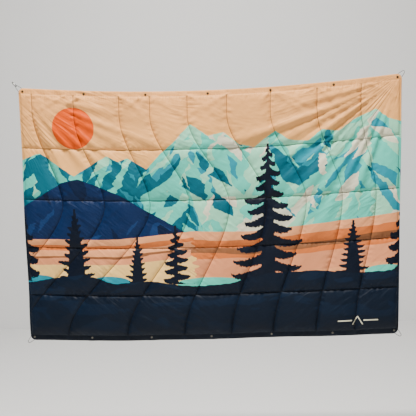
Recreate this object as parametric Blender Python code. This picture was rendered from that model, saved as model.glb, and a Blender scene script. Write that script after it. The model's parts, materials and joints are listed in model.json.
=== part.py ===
"""Quilted camp blanket, hung by its two top corners.

The blanket is a face fabric, an insulation sheet and a back fabric, quilted together, with a tape
inside the top and bottom hems that carries a row of snap fasteners. A cord loop is sewn in at each
corner, and a small wire-gate carabiner hangs in the loop at the upper left.

World frame: +X to the viewer's right, the printed face towards -Y, +Z up. The origin is the middle
of the line between the two top corners. Metres.
"""
import math

import bmesh
import bpy
from mathutils import Matrix, Vector
from mathutils.geometry import delaunay_2d_cdt

# Flat blanket
WIDTH = 2.030
HEIGHT = 1.370
CORNER_RADIUS = 0.028
HEM = 0.028
SIDE_STITCH = 0.010

# How it hangs
TOP_SAG = 0.050
BOTTOM_SAG = 0.013
DROP = 1.352
LEAN_LEFT = 0.026
LEAN_RIGHT = 0.060
WAVE = 0.013
FOLD_Z = -0.690
FOLD_GAP = 0.006

# Layers
CLOTH = 0.0005
CLEAR = 0.0003
SEAM_HALF = 0.0014
LOFT_HALF = 0.0105
LOFT_REACH = 0.070
FOLD_SLOPE = 0.150

# Quilting, as fractions of the height and metres from the left edge
ROW_SEAMS = (0.236, 0.440, 0.630, 0.820)
STEEP_STARTS = (0.070, 0.295, 0.540, 0.705, 0.905, 1.115, 1.345, 1.590, 1.820, 2.060)
STEEP_OUT = (0.145, 0.150, 0.155, 0.205, 0.220, 0.210, 0.190, 0.137, 0.085, 0.070)
STEEP_BACK = (0.500, 0.490, 0.480, 0.360, 0.260, 0.200, 0.180, 0.140, 0.110, 0.100)
OUT_FROM = 0.10
OUT_TO = 0.47
BACK_FROM = 0.45
SEAM_STEP = 0.090
FILL_STEP = 0.105

# Snap fasteners
SNAPS = 7
SNAP_SIDE = 0.022
SNAP_EDGE = 0.017
HOLE_RADIUS = 0.0026
PAD_RADIUS = 0.0085
POST_RADIUS = 0.0018
BORE_RADIUS = 0.0023
CAP_RADIUS = 0.0062
SOCKET_RADIUS = 0.0060
STUD_RADIUS = 0.0055
ROUND = 12

# Corner loops
CORD_RADIUS = 0.0012
LOOP_REACH = 0.030
LOOP_FOOT = 0.013
FOOT_X = -0.0019
LOOP_BEND = 0.007

# Carabiner
WIRE_RADIUS = 0.0015
RING_RADIUS = 0.007
RING_STRAIGHT = 0.017
RING_TURN = math.radians(35)
GATE_RADIUS = 0.0006
GATE_SIDE = 0.0024
PIVOT_BORE = 0.0009

COLOURS = {
    "face": ((0.62, 0.44, 0.30), 0.0, 0.55),
    "back": ((0.02, 0.03, 0.05), 0.0, 0.60),
    "fill": ((0.85, 0.85, 0.83), 0.0, 0.90),
    "tape": ((0.05, 0.06, 0.08), 0.0, 0.80),
    "socket": ((0.10, 0.08, 0.07), 1.0, 0.35),
    "stud": ((0.55, 0.53, 0.50), 1.0, 0.30),
    "cap": ((0.16, 0.14, 0.13), 1.0, 0.35),
    "cord": ((0.03, 0.03, 0.04), 0.0, 0.70),
    "carabiner": ((0.06, 0.05, 0.05), 1.0, 0.35),
    "gate": ((0.70, 0.70, 0.70), 1.0, 0.25),
}


def clear_scene():
    for obj in list(bpy.data.objects):
        bpy.data.objects.remove(obj, do_unlink=True)


def material(name):
    """One Principled material for each kind of piece."""
    found = bpy.data.materials.get(name)
    if found:
        return found
    colour, metallic, roughness = COLOURS[name]
    mat = bpy.data.materials.new(name)
    mat.use_nodes = True
    shader = mat.node_tree.nodes["Principled BSDF"]
    shader.inputs["Base Color"].default_value = (*colour, 1.0)
    shader.inputs["Metallic"].default_value = metallic
    shader.inputs["Roughness"].default_value = roughness
    return mat


def add_object(name, kind, verts, faces, smooth=False, matrix=None):
    """A mesh object whose vertices are in its own coordinates, placed by matrix."""
    mesh = bpy.data.meshes.new(name)
    mesh.from_pydata([tuple(v) for v in verts], [], faces)
    bm = bmesh.new()
    bm.from_mesh(mesh)
    bmesh.ops.recalc_face_normals(bm, faces=bm.faces)
    bm.to_mesh(mesh)
    bm.free()
    for polygon in mesh.polygons:
        polygon.use_smooth = smooth
    mesh.materials.append(material(kind))
    obj = bpy.data.objects.new(name, mesh)
    obj.matrix_world = matrix or Matrix.Identity(4)
    bpy.context.scene.collection.objects.link(obj)
    return obj


def smoothstep(x):
    x = min(1.0, max(0.0, x))
    return x * x * (3.0 - 2.0 * x)


def top_z(u):
    return -TOP_SAG * 4.0 * u * (1.0 - u)


def bottom_z(u):
    return -DROP - BOTTOM_SAG * 4.0 * u * (1.0 - u)


def place(s, t):
    """World x and z of a point s from the left edge and t below the top edge of the flat blanket."""
    u = s / WIDTH
    v = t / HEIGHT
    left = -WIDTH / 2 + LEAN_LEFT * v
    right = WIDTH / 2 - LEAN_RIGHT * v
    return left + (right - left) * u, top_z(u) + (bottom_z(u) - top_z(u)) * v


def flat_t(s, z):
    """How far below the top edge the hung blanket has height z."""
    u = s / WIDTH
    return HEIGHT * (z - top_z(u)) / (bottom_z(u) - top_z(u))


def middle_y(s, t):
    """The slow waves the cloth hangs in, which die out at the top edge and at the fold."""
    u = s / WIDTH
    v = t / HEIGHT
    away = abs(place(s, t)[1] - FOLD_Z)
    calm = smoothstep(v / 0.30) * (1.0 - math.exp(-(away / 0.22) ** 2))
    wave = math.sin(2 * math.pi * (1.4 * u + 0.10) + 1.5 * v)
    ripple = math.sin(2 * math.pi * (3.3 * u + 0.35) - 2.0 * v)
    return WAVE * calm * (0.8 * wave + 0.35 * ripple)


def swing(number, v):
    """Sideways drift of a steep seam at fraction v of the height."""
    out = smoothstep((v - OUT_FROM) / (OUT_TO - OUT_FROM))
    back = smoothstep((v - BACK_FROM) / (1.0 - BACK_FROM))
    return STEEP_OUT[number] * out - STEEP_BACK[number] * back


def row_seam(v, low, high):
    count = round((high - low) / SEAM_STEP)
    return [(low + (high - low) * i / count, v * HEIGHT) for i in range(count + 1)]


def steep_seam(number, low, high):
    count = round((high - low) / SEAM_STEP)
    line = []
    for i in range(count + 1):
        t = low + (high - low) * i / count
        line.append((STEEP_STARTS[number] + swing(number, t / HEIGHT), t))
    return line


def corner(s, t, s_sign, t_sign):
    """Rounded corner points, from the vertical edge to the horizontal edge."""
    centre_s = s - s_sign * CORNER_RADIUS
    centre_t = t - t_sign * CORNER_RADIUS
    points = []
    for i in range(4):
        angle = math.radians(30 * i)
        points.append((centre_s + s_sign * CORNER_RADIUS * math.cos(angle),
                       centre_t + t_sign * CORNER_RADIUS * math.sin(angle)))
    return points


def edge_points(a, b, step=SEAM_STEP):
    """Points strictly between a and b."""
    length = math.dist(a, b)
    count = max(1, round(length / step))
    return [(a[0] + (b[0] - a[0]) * i / count, a[1] + (b[1] - a[1]) * i / count)
            for i in range(1, count)]


def half_outline(upper):
    """Outline of the upper or lower half, as a closed list of points."""
    if upper:
        left = corner(0.0, 0.0, -1, -1)
        right = corner(WIDTH, 0.0, 1, -1)[::-1]
        cut_z = FOLD_Z + FOLD_GAP
    else:
        left = corner(0.0, HEIGHT, -1, 1)
        right = corner(WIDTH, HEIGHT, 1, 1)[::-1]
        cut_z = FOLD_Z - FOLD_GAP
    count = round(WIDTH / SEAM_STEP)
    cut = [(WIDTH * i / count, flat_t(WIDTH * i / count, cut_z)) for i in range(count, -1, -1)]
    loop = list(left)
    loop += edge_points(left[-1], right[0])
    loop += right
    loop += edge_points(right[-1], cut[0])
    loop += cut
    loop += edge_points(cut[-1], left[0])
    return loop


def segments(line, closed=False):
    pairs = list(zip(line, line[1:]))
    if closed:
        pairs.append((line[-1], line[0]))
    return pairs


def distance(p, pairs):
    """Shortest distance from p to a list of segments."""
    best = 1e9
    for (ax, ay), (bx, by) in pairs:
        dx = bx - ax
        dy = by - ay
        k = ((p[0] - ax) * dx + (p[1] - ay) * dy) / (dx * dx + dy * dy)
        k = min(1.0, max(0.0, k))
        best = min(best, math.hypot(p[0] - ax - k * dx, p[1] - ay - k * dy))
    return best


def inside(p, loop):
    hit = False
    for (ax, ay), (bx, by) in segments(loop, True):
        if (ay > p[1]) != (by > p[1]) and p[0] < ax + (p[1] - ay) * (bx - ax) / (by - ay):
            hit = not hit
    return hit


def ring(centre, radius, sides):
    return [(centre[0] + radius * math.cos(2 * math.pi * (i + 0.5) / sides),
             centre[1] + radius * math.sin(2 * math.pi * (i + 0.5) / sides)) for i in range(sides)]


def snap_spots(upper):
    """Flat positions of one row of snaps."""
    t = SNAP_EDGE if upper else HEIGHT - SNAP_EDGE
    reach = WIDTH - 2 * SNAP_SIDE
    return [(SNAP_SIDE + reach * i / (SNAPS - 1), t) for i in range(SNAPS)]


SEAMS = [row_seam(v, 0.0, WIDTH) for v in ROW_SEAMS]
SEAMS += [steep_seam(i, HEM, HEIGHT - HEM) for i in range(len(STEEP_STARTS))]
EDGES = [[(0.0, HEM), (WIDTH, HEM)], [(0.0, HEIGHT - HEM), (WIDTH, HEIGHT - HEM)],
         [(SIDE_STITCH, 0.0), (SIDE_STITCH, HEIGHT)],
         [(WIDTH - SIDE_STITCH, 0.0), (WIDTH - SIDE_STITCH, HEIGHT)]]
SEAM_PAIRS = [pair for line in SEAMS + EDGES for pair in segments(line)]


def half_thickness(s, t):
    """Half the blanket's thickness: thin on every stitch line, in the hems and at the fold."""
    in_hem = t < HEM or t > HEIGHT - HEM or s < SIDE_STITCH or s > WIDTH - SIDE_STITCH
    if in_hem:
        return SEAM_HALF
    k = min(1.0, distance((s, t), SEAM_PAIRS) / LOFT_REACH)
    puff = SEAM_HALF + (LOFT_HALF - SEAM_HALF) * math.sqrt(k * (2.0 - k))
    away = abs(place(s, t)[1] - FOLD_Z)
    return min(puff, SEAM_HALF + FOLD_SLOPE * max(0.0, away - FOLD_GAP))


def half_mesh(upper):
    """Flat triangles of one half, with the seams as edges, and each vertex's middle and half thickness."""
    loop = half_outline(upper)
    spots = snap_spots(upper)
    hem_t = HEM if upper else HEIGHT - HEM
    hem_line = row_seam(hem_t / HEIGHT, -0.01, WIDTH + 0.01)
    points = list(loop)
    edges = [(i, (i + 1) % len(loop)) for i in range(len(loop))]
    lines = [hem_line]
    for line in SEAMS:
        kept = [p for p in line if inside(p, loop)]
        if len(kept) > 1:
            first = line.index(kept[0])
            last = line.index(kept[-1])
            lines.append(line[max(0, first - 1):last + 2])
    for line in lines:
        base = len(points)
        points += line
        edges += [(base + i, base + i + 1) for i in range(len(line) - 1)]
    for spot in spots:
        for radius in (HOLE_RADIUS, PAD_RADIUS):
            base = len(points)
            points += ring(spot, radius, 6)
            edges += [(base + i, base + (i + 1) % 6) for i in range(6)]
    wall = segments(loop, True) + [pair for line in lines for pair in segments(line)]
    low_t = min(p[1] for p in loop)
    rows = int(HEIGHT / FILL_STEP) + 2
    columns = int(WIDTH / FILL_STEP) + 2
    for row in range(rows):
        for column in range(columns):
            p = ((column + 0.5 * (row % 2)) * FILL_STEP, low_t + row * FILL_STEP * 0.87)
            near_hem = abs(p[1] - hem_t) < 0.03 or (p[1] < hem_t) == upper
            if inside(p, loop) and not near_hem and distance(p, wall) > 0.036:
                points.append(p)
    result = delaunay_2d_cdt([Vector(p) for p in points], edges, [], 0, 0.0012)
    flat = [(v.x, v.y) for v in result[0]]
    holes = [ring(spot, HOLE_RADIUS, 6) for spot in spots]
    tris = []
    for tri in result[2]:
        centre = (sum(flat[i][0] for i in tri) / 3, sum(flat[i][1] for i in tri) / 3)
        if inside(centre, loop) and not any(inside(centre, hole) for hole in holes):
            tris.append(tuple(tri))
    shape = []
    for s, t in flat:
        centre = (s, t)
        for spot in spots:
            if math.dist((s, t), spot) < PAD_RADIUS + 0.001:
                centre = spot
        shape.append((middle_y(*centre), half_thickness(*centre)))
    return flat, tris, shape, hem_t


def layer(name, kind, flat, tris, front, back):
    """A closed sheet between two heights over the same triangles."""
    used = sorted({i for tri in tris for i in tri})
    order = {i: n for n, i in enumerate(used)}
    verts = []
    for side in (front, back):
        for i in used:
            x, z = place(*flat[i])
            verts.append((x, side(i), z))
    count = len(used)
    faces = []
    seen = {}
    for tri in tris:
        a, b, c = (order[i] for i in tri)
        faces.append((a, b, c))
        faces.append((c + count, b + count, a + count))
        for edge in ((a, b), (b, c), (c, a)):
            seen.setdefault(tuple(sorted(edge)), []).append(edge)
    for uses in seen.values():
        if len(uses) == 1:
            a, b = uses[0]
            faces.append((a, b, b + count))
            faces.append((a, b + count, a + count))
    return add_object(name, kind, verts, faces)


def build_half(upper):
    """Face fabric, insulation, back fabric and hem tape of one half."""
    flat, tris, shape, hem_t = half_mesh(upper)
    where = "upper" if upper else "lower"

    def at(sign, depth):
        return lambda i: shape[i][0] + sign * (shape[i][1] - depth)

    def in_band(tri):
        t = sum(flat[i][1] for i in tri) / 3
        return t < hem_t if upper else t > hem_t

    band = [tri for tri in tris if in_band(tri)]
    quilted = [tri for tri in tris if not in_band(tri)]
    inner = CLOTH + CLEAR
    layer("face_fabric_" + where, "face", flat, tris, at(-1, 0.0), at(-1, CLOTH))
    layer("back_fabric_" + where, "back", flat, tris, at(1, CLOTH), at(1, 0.0))
    layer("insulation_" + where, "fill", flat, quilted, at(-1, inner), at(1, inner))
    layer("top_hem_tape" if upper else "bottom_hem_tape", "tape", flat, band,
          at(-1, inner), at(1, inner))


def lathe(name, kind, profile, matrix):
    """A turned piece about its own Y axis from (radius, y) points. A radius of 0 closes on the axis."""
    verts = []
    rings = []
    for radius, y in profile:
        if radius == 0.0:
            rings.append([len(verts)] * ROUND)
            verts.append((0.0, y, 0.0))
        else:
            rings.append(list(range(len(verts), len(verts) + ROUND)))
            for i in range(ROUND):
                angle = 2 * math.pi * i / ROUND
                verts.append((radius * math.cos(angle), y, radius * math.sin(angle)))
    closed = profile[0][0] != 0.0
    pairs = list(zip(rings, rings[1:]))
    if closed:
        pairs.append((rings[-1], rings[0]))
    faces = []
    for low, high in pairs:
        for i in range(ROUND):
            j = (i + 1) % ROUND
            face = [low[i], low[j], high[j], high[i]]
            face = [v for n, v in enumerate(face) if v not in face[:n]]
            if len(face) > 2:
                faces.append(face)
    return add_object(name, kind, verts, faces, smooth=True, matrix=matrix)


def build_snaps(upper):
    """A row of snaps: front sockets or studs, and the caps whose posts pass through the hem."""
    base = SEAM_HALF + CLEAR
    cap = [(0.0, -base - 0.0008), (POST_RADIUS, -base - 0.0008), (POST_RADIUS, base),
           (CAP_RADIUS, base), (CAP_RADIUS, base + 0.0006), (0.0045, base + 0.0013),
           (0.0, base + 0.0016)]
    socket = [(BORE_RADIUS, -base), (SOCKET_RADIUS, -base), (SOCKET_RADIUS, -base - 0.0008),
              (0.0042, -base - 0.0022), (0.0030, -base - 0.0022), (BORE_RADIUS, -base - 0.0014)]
    stud = [(0.0, -base - 0.0012), (BORE_RADIUS, -base - 0.0012), (BORE_RADIUS, -base),
            (STUD_RADIUS, -base), (STUD_RADIUS, -base - 0.0008), (0.0030, -base - 0.0008),
            (0.0024, -base - 0.0030), (0.0, -base - 0.0034)]
    for number, (s, t) in enumerate(snap_spots(upper), 1):
        x, z = place(s, t)
        matrix = Matrix.Translation((x, middle_y(s, t), z))
        if upper:
            lathe(f"snap_socket_{number}", "socket", socket, matrix)
            lathe(f"socket_cap_{number}", "cap", cap, matrix)
        else:
            lathe(f"snap_stud_{number}", "stud", stud, matrix)
            lathe(f"stud_cap_{number}", "cap", cap, matrix)


def tube(name, kind, path, radius, sides, matrix, smooth=True):
    """A round bar along a path, with flat ends."""
    verts = []
    normal = None
    for i, point in enumerate(path):
        ahead = path[min(i + 1, len(path) - 1)]
        behind = path[max(i - 1, 0)]
        along = (ahead - behind).normalized()
        if normal is None:
            normal = along.orthogonal().normalized()
        normal = (normal - along * normal.dot(along)).normalized()
        side = along.cross(normal)
        for k in range(sides):
            angle = 2 * math.pi * (k + 0.5) / sides
            verts.append(point + radius * (math.cos(angle) * normal + math.sin(angle) * side))
    faces = [list(range(sides))[::-1]]
    for i in range(len(path) - 1):
        for k in range(sides):
            j = (k + 1) % sides
            faces.append([i * sides + k, i * sides + j, (i + 1) * sides + j, (i + 1) * sides + k])
    last = (len(path) - 1) * sides
    faces.append([last + k for k in range(sides)])
    return add_object(name, kind, verts, faces, smooth=smooth, matrix=matrix)


def corner_frame(s_sign, t_sign):
    """Matrix at the middle of a rounded corner: +X outwards on the diagonal, +Y along the corner."""
    middle_s = CORNER_RADIUS * (1 - math.cos(math.radians(45)))
    s = middle_s if s_sign < 0 else WIDTH - middle_s
    t = middle_s if t_sign < 0 else HEIGHT - middle_s
    x, z = place(s, t)
    out = Vector((s_sign, 0.0, -t_sign)).normalized()
    along = Vector((t_sign, 0.0, s_sign)).normalized()
    up = out.cross(along)
    matrix = Matrix((out, along, up)).transposed().to_4x4()
    matrix.translation = Vector((x, middle_y(s, t), z))
    return matrix


def loop_path():
    """The loop's centre line in the corner's own frame: two feet, straight legs and a round bend."""
    bend_x = LOOP_REACH - LOOP_BEND
    path = [Vector((FOOT_X, -LOOP_FOOT, 0.0))]
    for i in range(9):
        angle = math.radians(-78 + 156 * i / 8)
        path.append(Vector((bend_x + LOOP_BEND * math.cos(angle), LOOP_BEND * math.sin(angle), 0.0)))
    path.append(Vector((FOOT_X, LOOP_FOOT, 0.0)))
    return path


def build_loops():
    for name, s_sign, t_sign in (("upper_left", -1, -1), ("upper_right", 1, -1),
                                 ("lower_left", -1, 1), ("lower_right", 1, 1)):
        tube(f"corner_loop_{name}", "cord", loop_path(), CORD_RADIUS, 6,
             corner_frame(s_sign, t_sign))


def build_carabiner():
    """A bent-wire ring and its wire gate, linked through the upper left loop."""
    matrix = corner_frame(-1, -1)
    pivot = matrix @ Vector((LOOP_REACH, 0.0, 0.0))
    turn = Matrix.Rotation(RING_TURN, 4, "X")
    ring_matrix = matrix.to_3x3().to_4x4() @ turn
    ring_matrix.translation = pivot
    inner = CORD_RADIUS + 0.0006 + WIRE_RADIUS
    near = RING_RADIUS - inner
    far = near + RING_STRAIGHT
    nose = far - 0.0022
    heel = near + 0.0016
    path = [Vector((nose, 0.0, RING_RADIUS)), Vector((far, 0.0, RING_RADIUS))]
    for i in range(1, 9):
        angle = math.radians(90 - 180 * i / 8)
        path.append(Vector((far + RING_RADIUS * math.cos(angle), 0.0, RING_RADIUS * math.sin(angle))))
    for i in range(9):
        angle = math.radians(270 - 180 * i / 8)
        path.append(Vector((near + RING_RADIUS * math.cos(angle), 0.0, RING_RADIUS * math.sin(angle))))
    path.append(Vector((heel, 0.0, RING_RADIUS)))
    body = tube("carabiner_body", "carabiner", path, WIRE_RADIUS, 8, ring_matrix)
    hinge = Vector((near, 0.0, RING_RADIUS))
    bore = tube("pivot_bore", "carabiner", [hinge + Vector((0, y, 0)) for y in (-0.004, 0.004)],
                PIVOT_BORE, 8, ring_matrix)
    bore.hide_render = True
    bore.display_type = "WIRE"
    cut = body.modifiers.new("pivot bore", "BOOLEAN")
    cut.operation = "DIFFERENCE"
    cut.solver = "EXACT"
    cut.object = bore

    reach = nose + 0.0020 - near
    lift = -(WIRE_RADIUS + CLEAR + GATE_RADIUS)
    side = [Vector((0.0, 0.0009, 0.0)), Vector((0.0, GATE_SIDE - 0.0004, 0.0)),
            Vector((0.0004, GATE_SIDE, 0.0)), Vector((reach * 0.5, GATE_SIDE, lift * 0.55)),
            Vector((reach - 0.0010, GATE_SIDE, lift)), Vector((reach, GATE_SIDE - 0.0010, lift))]
    other = [Vector((p.x, -p.y, p.z)) for p in side[::-1]]
    gate_matrix = ring_matrix @ Matrix.Translation(hinge)
    tube("carabiner_gate", "gate", side + other, GATE_RADIUS, 6, gate_matrix)


def main():
    clear_scene()
    build_half(True)
    build_half(False)
    build_snaps(True)
    build_snaps(False)
    build_loops()
    build_carabiner()


main()
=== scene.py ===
"""Looks of the quilted camp blanket: simulated cloth, printed landscape, thread, snaps, cords."""
import json
import math
from functools import reduce
from operator import or_

import bpy
import numpy as np
from mathutils import Matrix, Vector
from mathutils.bvhtree import BVHTree
from mathutils.geometry import delaunay_2d_cdt
from mathutils.kdtree import KDTree


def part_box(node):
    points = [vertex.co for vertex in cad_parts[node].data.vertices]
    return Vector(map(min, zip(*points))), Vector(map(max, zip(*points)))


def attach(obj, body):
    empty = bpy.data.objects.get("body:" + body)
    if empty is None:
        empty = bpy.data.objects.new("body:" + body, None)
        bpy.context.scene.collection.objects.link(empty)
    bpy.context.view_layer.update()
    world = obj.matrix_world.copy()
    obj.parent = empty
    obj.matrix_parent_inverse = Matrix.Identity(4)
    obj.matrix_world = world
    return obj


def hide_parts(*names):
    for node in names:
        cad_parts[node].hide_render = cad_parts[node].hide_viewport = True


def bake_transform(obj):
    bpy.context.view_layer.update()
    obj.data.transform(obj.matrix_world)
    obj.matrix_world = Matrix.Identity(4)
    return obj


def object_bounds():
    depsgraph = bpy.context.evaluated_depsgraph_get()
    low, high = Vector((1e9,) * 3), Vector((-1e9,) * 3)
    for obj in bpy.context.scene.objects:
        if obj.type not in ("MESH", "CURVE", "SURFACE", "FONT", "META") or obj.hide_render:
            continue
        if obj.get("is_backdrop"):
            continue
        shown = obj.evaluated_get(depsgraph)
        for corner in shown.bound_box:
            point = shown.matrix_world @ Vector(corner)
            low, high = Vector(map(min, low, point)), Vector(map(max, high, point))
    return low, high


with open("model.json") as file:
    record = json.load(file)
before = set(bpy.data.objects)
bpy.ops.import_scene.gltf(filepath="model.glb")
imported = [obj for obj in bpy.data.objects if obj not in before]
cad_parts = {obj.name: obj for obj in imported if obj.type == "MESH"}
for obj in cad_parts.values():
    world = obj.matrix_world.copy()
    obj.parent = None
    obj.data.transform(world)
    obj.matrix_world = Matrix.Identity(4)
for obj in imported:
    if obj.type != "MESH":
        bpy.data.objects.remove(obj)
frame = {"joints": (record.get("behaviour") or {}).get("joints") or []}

CAD_LOW, CAD_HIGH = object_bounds()

# ---------------------------------------------------------------- the flat blanket and how it hangs
# A flat point is (s, t): s across from the left edge and t down from the top edge.
WIDTH = 2.030
HEIGHT = 1.370
CORNER_RADIUS = 0.028
HEM = 0.028
SIDE = 0.010
SIDE_END = 0.012
TOP_SAG = 0.050
BOTTOM_SAG = 0.013
DROP = 1.352
LEAN_LEFT = 0.026
LEAN_RIGHT = 0.060
WAVE = 0.013
FOLD_Z = -0.690
SEAM_HALF = 0.0014
LOFT_HALF = 0.0180
LOFT_REACH = 0.060
ROW_SEAMS = (0.236, 0.440, 0.630, 0.820)
STEEP_STARTS = (0.070, 0.295, 0.540, 0.705, 0.905, 1.115, 1.345, 1.590, 1.820, 2.060)
STEEP_OUT = (0.145, 0.150, 0.155, 0.205, 0.220, 0.210, 0.190, 0.137, 0.085, 0.070)
STEEP_BACK = (0.500, 0.490, 0.480, 0.360, 0.260, 0.200, 0.180, 0.140, 0.110, 0.100)

# Triangle sizes: the solver's, those near a stitch line, and the rest. BESIDE is the distance of
# the extra vertices on each side of a stitch line, and NEAR_BAND how far the near ones reach.
COARSE = 0.019
NEAR = 0.0072
FAR = 0.0120
BESIDE = 0.0026
NEAR_BAND = 0.022
ANYWHERE = 9.0
ROW_STEP = 0.866

# The cloth solver. FOLLOW is how much of its sideways, depth and height movement is kept.
SOLVER = {"quality": 5, "mass": 0.02, "air_damping": 1.0, "tension_stiffness": 80,
          "compression_stiffness": 40, "shear_stiffness": 15, "bending_stiffness": 0.02,
          "use_pressure": True, "uniform_pressure_force": 2.4, "vertex_group_pressure": "press",
          "vertex_group_mass": "pins"}
SOLVER_FRAMES = 34
SLACK = 0.988
LAYER_GAP = 0.002
HEM_PRESSURE = 0.15
FOLLOW = np.array([0.6, 1.0, 0.6])
MOST_MOVED = 0.012
MOST_HALF = 0.018

# Heights of the folds and of the puckers, and how far past the CAD's front and back cloth may go.
RIGHT_FAN = 0.0230
LEFT_FAN = 0.0150
EDGE_FOLD = 0.0052
LONG_RIPPLE = 0.0034
SHORT_RIPPLE = 0.0024
PUCKER = 0.0030
HEM_PUCKER = 0.0009
FAN_ANGLES = (8, 74)
SEAM_LIP = 0.0034
PAST_CAD = 0.0095
SNAP_CLEAR = 0.009


def smooth(x):
    x = np.clip(x, 0.0, 1.0)
    return x * x * (3.0 - 2.0 * x)


def shares(flat):
    """Flat points as fractions of the width and the height."""
    return flat[:, 0] / WIDTH, flat[:, 1] / HEIGHT


def place(flat):
    """Where a flat point hangs: x and z."""
    u, v = shares(flat)
    left = -WIDTH / 2 + LEAN_LEFT * v
    right = WIDTH / 2 - LEAN_RIGHT * v
    top = -TOP_SAG * 4.0 * u * (1.0 - u)
    bottom = -DROP - BOTTOM_SAG * 4.0 * u * (1.0 - u)
    return left + (right - left) * u, top + (bottom - top) * v


def middle_y(flat):
    """The CAD's gentle wave, calm at the top edge and along the fold."""
    u, v = shares(flat)
    away = np.abs(place(flat)[1] - FOLD_Z)
    calm = smooth(v / 0.30) * (1.0 - np.exp(-(away / 0.22) ** 2))
    wave = np.sin(2 * math.pi * (1.4 * u + 0.10) + 1.5 * v)
    ripple = np.sin(2 * math.pi * (3.3 * u + 0.35) - 2.0 * v)
    return WAVE * calm * (0.8 * wave + 0.35 * ripple)


def swing(number, v):
    """Sideways drift of a steep seam at fraction v of the height."""
    return (STEEP_OUT[number] * smooth((v - 0.10) / 0.37)
            - STEEP_BACK[number] * smooth((v - 0.45) / 0.55))


def sample(a, b, step):
    n = max(1, round(math.dist(a, b) / step))
    k = np.linspace(0, 1, n + 1)[:, None]
    return np.array(a) * (1 - k) + np.array(b) * k


def outline(step):
    points = []
    r = CORNER_RADIUS
    for cs, ct, start in ((r, r, 180), (WIDTH - r, r, 270), (WIDTH - r, HEIGHT - r, 0),
                          (r, HEIGHT - r, 90)):
        for i in range(6):
            a = math.radians(start + 18 * i)
            points.append((cs + r * math.cos(a), ct + r * math.sin(a)))
    loop = []
    for p, q in zip(points, points[1:] + points[:1]):
        loop += [tuple(x) for x in sample(p, q, step)[:-1]]
    return np.array(loop)


def runs(mask):
    """The unbroken stretches of a mask, as arrays of indices."""
    index = np.where(mask)[0]
    return np.split(index, np.where(np.diff(index) > 1)[0] + 1)


def seam_lines(step):
    lines = [sample((0, v * HEIGHT), (WIDTH, v * HEIGHT), step) for v in ROW_SEAMS]
    for number, start in enumerate(STEEP_STARTS):
        n = round(HEIGHT * 1.05 / step)
        t = np.linspace(HEM, HEIGHT - HEM, n + 1)
        s = start + swing(number, t / HEIGHT)
        line = np.stack([s, t], 1)
        lines += [line[run] for run in runs((s > -step) & (s < WIDTH + step)) if len(run) > 1]
    return lines


def hem_lines(step):
    ends = (((0, HEM), (WIDTH, HEM)), ((0, HEIGHT - HEM), (WIDTH, HEIGHT - HEM)),
            ((SIDE, SIDE_END), (SIDE, HEIGHT - SIDE_END)),
            ((WIDTH - SIDE, SIDE_END), (WIDTH - SIDE, HEIGHT - SIDE_END)))
    return [sample(a, b, step) for a, b in ends]


def inset(p):
    """How far inside the rounded outline a flat point is."""
    half = np.array([WIDTH, HEIGHT]) / 2
    q = np.abs(p - half) - (half - CORNER_RADIUS)
    outside = np.sqrt((np.maximum(q, 0) ** 2).sum(1))
    return CORNER_RADIUS - (outside + np.minimum(q.max(1), 0))


def in_hem(flat):
    s, t = flat.T
    e = 0.0008
    return (t < HEM - e) | (t > HEIGHT - HEM + e) | (s < SIDE - e) | (s > WIDTH - SIDE + e)


POINT_EVERY = 0.002


class Lines:
    """Nearest-point look-ups on a set of stitch lines."""

    def __init__(self, lines):
        rows = []
        for number, line in enumerate(lines):
            run = 0.0
            for a, b in zip(line[:-1], line[1:]):
                length = math.dist(a, b)
                n = max(1, round(length / POINT_EVERY))
                k = np.arange(n)[:, None] / n
                rows.append(np.hstack([a + (b - a) * k, run + length * k, np.full((n, 1), number)]))
                run += length
        self.table = np.concatenate(rows)
        self.tree = KDTree(len(self.table))
        for i, (s, t, _, _) in enumerate(self.table):
            self.tree.insert((s, t, 0.0), i)
        self.tree.balance()

    def find(self, points):
        """Distance to the nearest line, the way along it there, and the line's number."""
        index = np.zeros(len(points), int)
        gap = np.zeros(len(points))
        for i, p in enumerate(points):
            _, index[i], gap[i] = self.tree.find((p[0], p[1], 0.0))
        return gap, self.table[index, 2], self.table[index, 3]


QUILT = Lines(seam_lines(0.01))
STITCHED = Lines(seam_lines(0.01) + hem_lines(0.01))


# ---------------------------------------------------------------- triangle meshes
def cross(a, b):
    return a[:, 0] * b[:, 1] - a[:, 1] * b[:, 0]


def tri_edges(tris):
    return np.concatenate([tris[:, [0, 1]], tris[:, [1, 2]], tris[:, [2, 0]]])


def rim_edges(tris):
    """Directed edges that only one triangle uses."""
    there = {(int(a), int(b)) for a, b in tri_edges(tris)}
    return [(a, b) for a, b in there if (b, a) not in there]


def compact(tris, count):
    """The triangles renumbered for the vertices that they use, and those vertices."""
    used = np.unique(tris)
    order = -np.ones(count, int)
    order[used] = np.arange(len(used))
    return order[tris], used


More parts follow.
